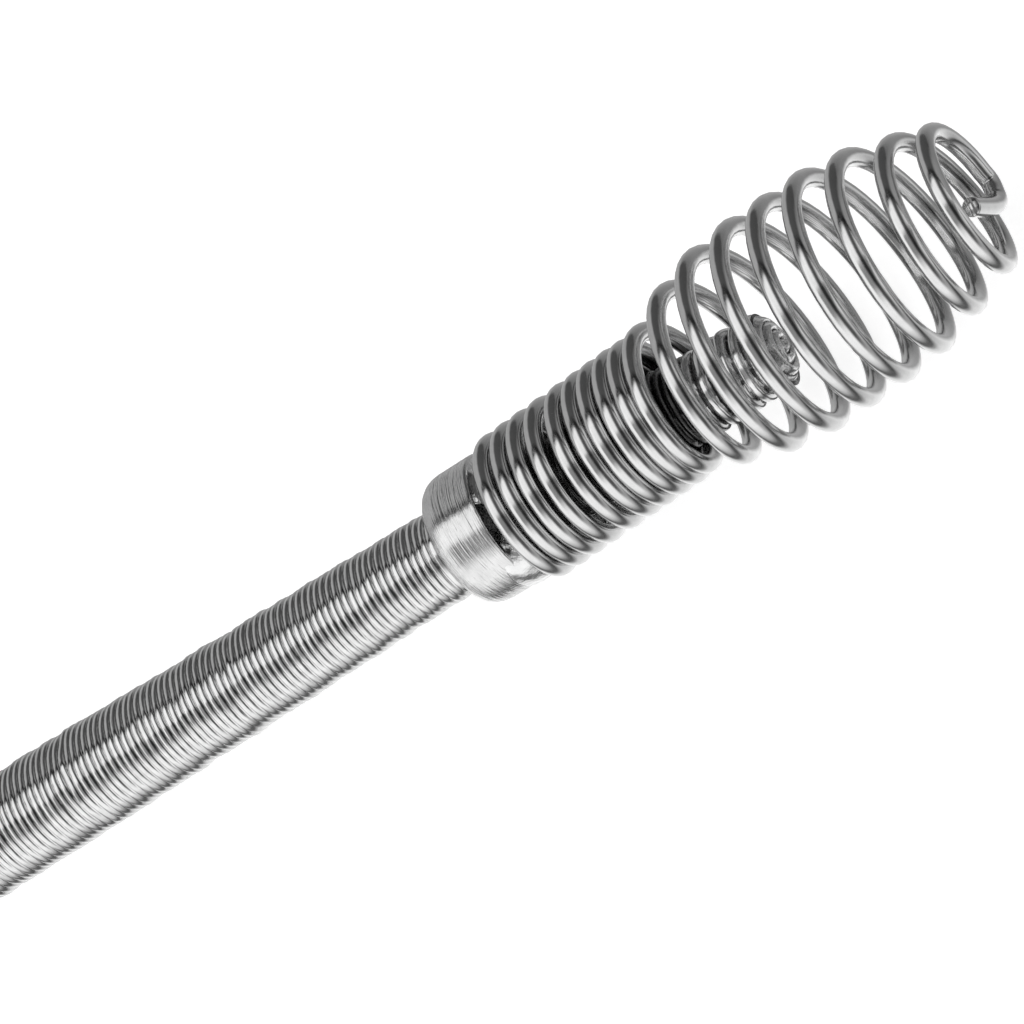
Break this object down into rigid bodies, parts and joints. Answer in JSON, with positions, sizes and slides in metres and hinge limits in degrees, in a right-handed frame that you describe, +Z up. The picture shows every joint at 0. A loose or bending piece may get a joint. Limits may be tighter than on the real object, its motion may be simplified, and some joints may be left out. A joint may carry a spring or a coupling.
{
  "type": "drain auger",
  "caption": "Hand-crank drain auger: sprung bulb head on a close-wound cable, Z-bent crank with spinning grips, thumbscrew clamp and coiled spare cable.",
  "frame": {"origin": "on the surface the tool lies on, under the middle of the tool without its spare cable", "axes": "+X along the tool towards the spring head, +Y from the crank grip's leg to the cable's leg, +Z up"},
  "size_m": [0.676, 0.1725, 0.0484],
  "materials": {
    "spring_steel": "bright drawn spring wire",
    "turned_steel": "turned, with fine tool lines",
    "cable_steel": "close-wound drawn wire",
    "core_steel": "stranded wire",
    "braze": "smooth bright braze",
    "tube_steel": "bright zinc plate",
    "plated_steel": "bright zinc plate",
    "brass": "satin",
    "black_plastic": "moulded",
    "grip_rubber": "matt soft moulding",
    "tie_fabric": "woven hook-and-loop"
  },
  "bodies": {
    "tool": {"boss_weld_front": "braze", "boss_weld_rear": "braze", "cable_coil": "cable_steel", "cable_core": "core_steel", "cable_end_cap": "braze", "cable_front": "cable_steel", "cable_middle": "cable_steel", "cable_run": "cable_steel", "cable_tail": "cable_steel", "clamp_boss": "tube_steel", "coil_tie_1": "tie_fabric", "coil_tie_2": "tie_fabric", "coil_tie_3": "tie_fabric", "crank_front_collar": "plated_steel", "crank_front_washer": "black_plastic", "crank_rear_collar": "plated_steel", "crank_rear_washer": "black_plastic", "crank_tube": "tube_steel", "drive_shank": "plated_steel", "ferrule_braze": "braze", "fitting_ferrule": "turned_steel", "guide_front_collar": "plated_steel", "guide_front_washer": "black_plastic", "guide_rear_collar": "plated_steel", "guide_rear_washer": "black_plastic", "head_ferrule": "turned_steel", "head_neck_spring": "spring_steel", "nose_bush": "black_plastic", "rear_bush": "black_plastic"},
    "bulb": {"head_bulb_spring": "spring_steel"},
    "guide_sleeve": {"guide_liner": "black_plastic", "guide_grip": "grip_rubber"},
    "crank_sleeve": {"crank_liner": "black_plastic", "crank_grip": "grip_rubber"},
    "shoe": {"clamp_shoe": "brass"},
    "screw": {"thumb_screw": "plated_steel"}
  },
  "joints": [
    {"name": "head_flex", "type": "hinge", "parent": "tool", "child": "bulb", "pos_m": [0.22617, 0.05492, 0.0096], "axis": [0, 0, 1], "range_deg": [-12, 12], "stiffness_Nm_per_rad": 0.4},
    {"name": "guide_spin", "type": "hinge", "parent": "tool", "child": "guide_sleeve", "pos_m": [0.08397, 0.056, 0.015], "axis": [1, 0, 0], "continuous": true},
    {"name": "crank_spin", "type": "hinge", "parent": "tool", "child": "crank_sleeve", "pos_m": [-0.13483, -0.056, 0.015], "axis": [1, 0, 0], "continuous": true},
    {"name": "clamp_travel", "type": "slide", "parent": "tool", "child": "shoe", "axis": [0, 0, 1], "range_m": [0, 0.0025]},
    {"name": "screw_turn", "type": "hinge", "parent": "shoe", "child": "screw", "pos_m": [0.09997, 0.056, 0.033], "axis": [0, 0, 1], "range_deg": [0, 721]}
  ],
  "couplings": [
    {"joint": "screw_turn", "follows": "clamp_travel", "rad_per_m": 5026.5}
  ]
}
